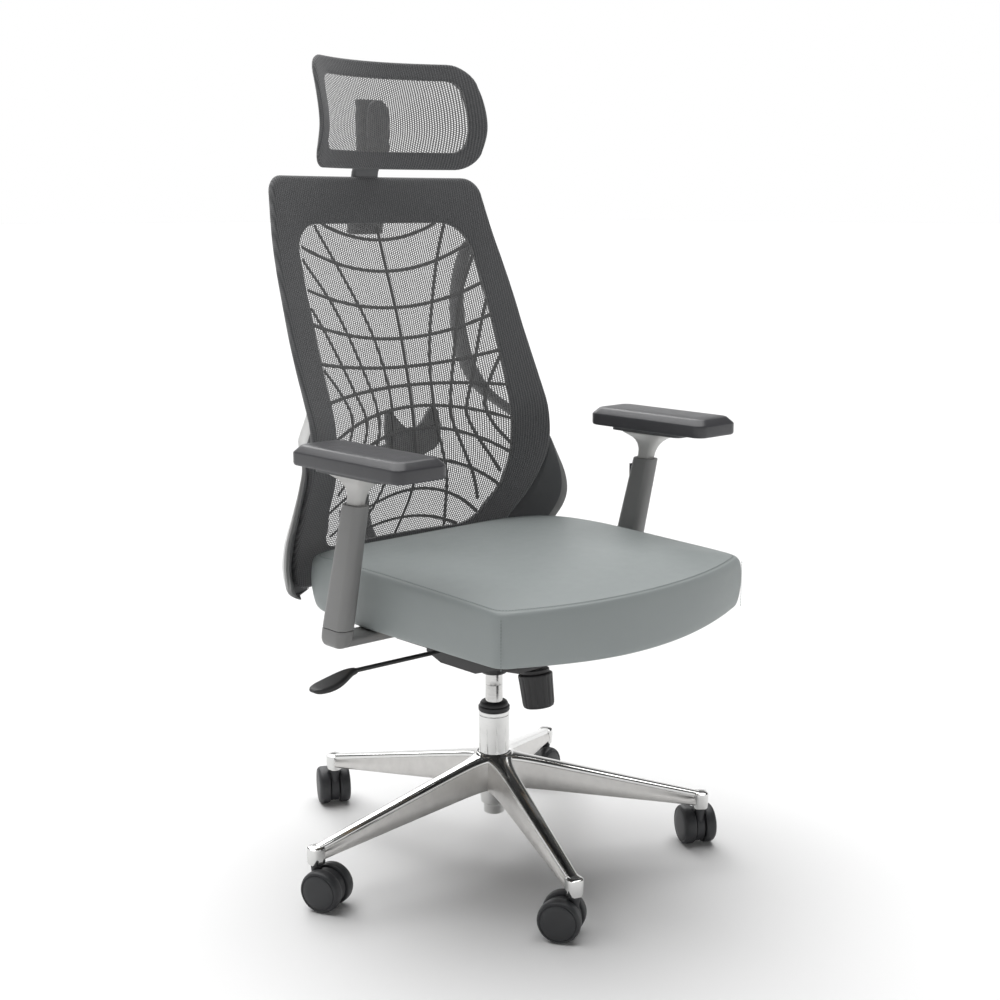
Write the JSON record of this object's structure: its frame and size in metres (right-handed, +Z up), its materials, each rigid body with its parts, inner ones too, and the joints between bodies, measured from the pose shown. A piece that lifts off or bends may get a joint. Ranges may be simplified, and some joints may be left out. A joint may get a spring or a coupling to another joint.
{
  "type": "office chair",
  "caption": "High-back office chair with mesh back, adjustable headrest and armrests, padded seat on a reclining mechanism, gas lift, star base and casters.",
  "frame": {"origin": "middle of the overall bounding box on the floor, under the wheels; the swivel axis stands a few millimetres to the +X and -Y side of it", "axes": "+Z up, the sitter faces -Y, +X is the sitter's left"},
  "size_m": [0.7248, 0.73, 1.268],
  "materials": {
    "polished_aluminium": "polished",
    "bright_steel": "satin",
    "black_steel": "satin",
    "black_plastic": "matte",
    "grey_plastic": "satin",
    "dark_plastic": "satin",
    "mesh_fabric": "matte",
    "seat_leather": "satin",
    "foam": "matte",
    "pad_skin": "satin",
    "plywood": "matte",
    "caster_nylon": "satin"
  },
  "bodies": {
    "base": {"star_base": "polished_aluminium", "column_tube": "polished_aluminium", "column_bush": "black_plastic", "thrust_bearing": "bright_steel"},
    "lift_rod": {"piston_rod": "bright_steel"},
    "mechanism": {"gas_cylinder": "bright_steel", "mechanism_housing": "black_steel", "front_pivot_pin": "bright_steel", "rear_pivot_pin": "bright_steel", "tilt_spring": "bright_steel"},
    "release": {"release_pin": "bright_steel"},
    "tension": {"tension_knob": "black_plastic", "tension_bolt": "bright_steel"},
    "lever_guide": {"lever_bush": "black_plastic"},
    "lever": {"lever_rod": "black_steel", "lever_paddle": "black_plastic"},
    "back": {"back_carrier": "black_steel", "back_bridge": "grey_plastic", "side_arm_left": "grey_plastic", "side_arm_right": "grey_plastic", "back_frame": "dark_plastic", "back_mesh": "mesh_fabric", "lumbar_pad": "dark_plastic", "lumbar_stem": "dark_plastic", "neck_post": "dark_plastic"},
    "seat": {"seat_plate": "black_steel", "seat_board": "plywood", "seat_shell": "black_plastic", "seat_foam": "foam", "seat_cover": "seat_leather", "arm_bracket_left": "grey_plastic", "arm_bracket_right": "grey_plastic", "arm_sleeve_left": "grey_plastic", "arm_sleeve_right": "grey_plastic"},
    "headrest_slider": {"headrest_bracket": "dark_plastic"},
    "headrest": {"headrest_frame": "dark_plastic", "headrest_mesh": "mesh_fabric"},
    "arm_post_left": {"arm_post_left": "grey_plastic"},
    "arm_button_left": {"arm_button_left": "dark_plastic"},
    "pad_plate_left": {"arm_slide_plate_left": "dark_plastic"},
    "pad_left": {"arm_pad_left": "pad_skin"},
    "arm_post_right": {"arm_post_right": "grey_plastic"},
    "arm_button_right": {"arm_button_right": "dark_plastic"},
    "pad_plate_right": {"arm_slide_plate_right": "dark_plastic"},
    "pad_right": {"arm_pad_right": "pad_skin"},
    "caster_1": {"caster_fork_1": "caster_nylon"},
    "wheel_1_a": {"caster_wheel_1_a": "caster_nylon"},
    "wheel_1_b": {"caster_wheel_1_b": "caster_nylon"},
    "caster_2": {"caster_fork_2": "caster_nylon"},
    "wheel_2_a": {"caster_wheel_2_a": "caster_nylon"},
    "wheel_2_b": {"caster_wheel_2_b": "caster_nylon"},
    "caster_3": {"caster_fork_3": "caster_nylon"},
    "wheel_3_a": {"caster_wheel_3_a": "caster_nylon"},
    "wheel_3_b": {"caster_wheel_3_b": "caster_nylon"},
    "caster_4": {"caster_fork_4": "caster_nylon"},
    "wheel_4_a": {"caster_wheel_4_a": "caster_nylon"},
    "wheel_4_b": {"caster_wheel_4_b": "caster_nylon"},
    "caster_5": {"caster_fork_5": "caster_nylon"},
    "wheel_5_a": {"caster_wheel_5_a": "caster_nylon"},
    "wheel_5_b": {"caster_wheel_5_b": "caster_nylon"}
  },
  "joints": [
    {"name": "swivel", "type": "hinge", "parent": "base", "child": "lift_rod", "pos_m": [0.0054, -0.02097, 0.08], "axis": [0, 0, 1], "continuous": true},
    {"name": "height", "type": "slide", "parent": "lift_rod", "child": "mechanism", "axis": [0, 0, 1], "range_m": [-0.045, 0.055]},
    {"name": "release", "type": "slide", "parent": "mechanism", "child": "release", "axis": [0, 0, -1], "range_m": [0, 0.003]},
    {"name": "tension_turn", "type": "hinge", "parent": "mechanism", "child": "tension", "pos_m": [0.0054, -0.11397, 0.335], "axis": [0, -0.1736, -0.9848], "range_deg": [-720, 720]},
    {"name": "tilt_lock", "type": "slide", "parent": "mechanism", "child": "lever_guide", "axis": [-1, 0, 0], "range_m": [0, 0.008]},
    {"name": "lift_lever", "type": "hinge", "parent": "lever_guide", "child": "lever", "pos_m": [-0.0586, 0.00803, 0.349], "axis": [0, 1, 0], "range_deg": [0, 5], "stiffness_Nm_per_rad": 4, "springref_deg": -4.58},
    {"name": "recline", "type": "hinge", "parent": "mechanism", "child": "back", "pos_m": [0.0054, 0.04903, 0.347], "axis": [-1, 0, 0], "range_deg": [0, 20], "stiffness_Nm_per_rad": 60, "springref_deg": -28.65},
    {"name": "seat_tilt", "type": "hinge", "parent": "mechanism", "child": "seat", "pos_m": [0.0054, -0.13197, 0.357], "axis": [-1, 0, 0], "range_deg": [0, 6]},
    {"name": "headrest_height", "type": "slide", "parent": "back", "child": "headrest_slider", "axis": [0, 0, 1], "range_m": [0, 0.035]},
    {"name": "headrest_tilt", "type": "hinge", "parent": "headrest_slider", "child": "headrest", "pos_m": [0.0054, 0.26723, 1.16], "axis": [-1, 0, 0], "range_deg": [-3, 12]},
    {"name": "arm_height_left", "type": "slide", "parent": "seat", "child": "arm_post_left", "axis": [0, -0.2389, 0.971], "range_m": [0, 0.07]},
    {"name": "arm_button_left", "type": "slide", "parent": "seat", "child": "arm_button_left", "axis": [0, -1, 0], "range_m": [0, 0.0025], "stiffness_N_per_m": 400, "springref_m": -0.001},
    {"name": "pad_swivel_left", "type": "hinge", "parent": "arm_post_left", "child": "pad_plate_left", "pos_m": [0.3134, -0.07597, 0.67], "axis": [0, 0, 1], "range_deg": [-20, 20]},
    {"name": "pad_slide_left", "type": "slide", "parent": "pad_plate_left", "child": "pad_left", "axis": [0, -1, 0], "range_m": [-0.025, 0.025]},
    {"name": "arm_height_right", "type": "slide", "parent": "seat", "child": "arm_post_right", "axis": [0, -0.2389, 0.971], "range_m": [0, 0.07]},
    {"name": "arm_button_right", "type": "slide", "parent": "seat", "child": "arm_button_right", "axis": [0, -1, 0], "range_m": [0, 0.0025], "stiffness_N_per_m": 400, "springref_m": -0.001},
    {"name": "pad_swivel_right", "type": "hinge", "parent": "arm_post_right", "child": "pad_plate_right", "pos_m": [-0.3026, -0.07597, 0.67], "axis": [0, 0, 1], "range_deg": [-20, 20]},
    {"name": "pad_slide_right", "type": "slide", "parent": "pad_plate_right", "child": "pad_right", "axis": [0, -1, 0], "range_m": [-0.025, 0.025]},
    {"name": "caster_swivel_1", "type": "hinge", "parent": "base", "child": "caster_1", "pos_m": [-0.07224, 0.31005, 0.067], "axis": [0, 0, 1], "continuous": true},
    {"name": "wheel_roll_1_a", "type": "hinge", "parent": "caster_1", "child": "wheel_1_a", "pos_m": [-0.06379, 0.32594, 0.0325], "axis": [-0.8829, 0.4695, 0], "continuous": true},
    {"name": "wheel_roll_1_b", "type": "hinge", "parent": "caster_1", "child": "wheel_1_b", "pos_m": [-0.06379, 0.32594, 0.0325], "axis": [-0.8829, 0.4695, 0], "continuous": true},
    {"name": "caster_swivel_2", "type": "hinge", "parent": "base", "child": "caster_2", "pos_m": [-0.33341, 0.00748, 0.067], "axis": [0, 0, 1], "continuous": true},
    {"name": "wheel_roll_2_a", "type": "hinge", "parent": "caster_2", "child": "wheel_2_a", "pos_m": [-0.32667, -0.00921, 0.0325], "axis": [0.9272, 0.3746, 0], "continuous": true},
    {"name": "wheel_roll_2_b", "type": "hinge", "parent": "caster_2", "child": "wheel_2_b", "pos_m": [-0.32667, -0.00921, 0.0325], "axis": [0.9272, 0.3746, 0], "continuous": true},
    {"name": "caster_swivel_3", "type": "hinge", "parent": "base", "child": "caster_3", "pos_m": [-0.12636, -0.3344, 0.067], "axis": [0, 0, 1], "continuous": true},
    {"name": "wheel_roll_3_a", "type": "hinge", "parent": "caster_3", "child": "wheel_3_a", "pos_m": [-0.1359, -0.31914, 0.0325], "axis": [-0.848, -0.5299, 0], "continuous": true},
    {"name": "wheel_roll_3_b", "type": "hinge", "parent": "caster_3", "child": "wheel_3_b", "pos_m": [-0.1359, -0.31914, 0.0325], "axis": [-0.848, -0.5299, 0], "continuous": true},
    {"name": "caster_swivel_4", "type": "hinge", "parent": "base", "child": "caster_4", "pos_m": [0.26277, -0.24313, 0.067], "axis": [0, 0, 1], "continuous": true},
    {"name": "wheel_roll_4_a", "type": "hinge", "parent": "caster_4", "child": "wheel_4_a", "pos_m": [0.27122, -0.22724, 0.0325], "axis": [-0.8829, 0.4695, 0], "continuous": true},
    {"name": "wheel_roll_4_b", "type": "hinge", "parent": "caster_4", "child": "wheel_4_b", "pos_m": [0.27122, -0.22724, 0.0325], "axis": [-0.8829, 0.4695, 0], "continuous": true},
    {"name": "caster_swivel_5", "type": "hinge", "parent": "base", "child": "caster_5", "pos_m": [0.29622, 0.15516, 0.067], "axis": [0, 0, 1], "continuous": true},
    {"name": "wheel_roll_5_a", "type": "hinge", "parent": "caster_5", "child": "wheel_5_a", "pos_m": [0.27849, 0.15204, 0.0325], "axis": [0.1736, -0.9848, 0], "continuous": true},
    {"name": "wheel_roll_5_b", "type": "hinge", "parent": "caster_5", "child": "wheel_5_b", "pos_m": [0.27849, 0.15204, 0.0325], "axis": [0.1736, -0.9848, 0], "continuous": true}
  ],
  "couplings": [
    {"joint": "seat_tilt", "follows": "recline", "ratio": 0.3},
    {"joint": "release", "follows": "lift_lever", "m_per_rad": 0.034}
  ]
}
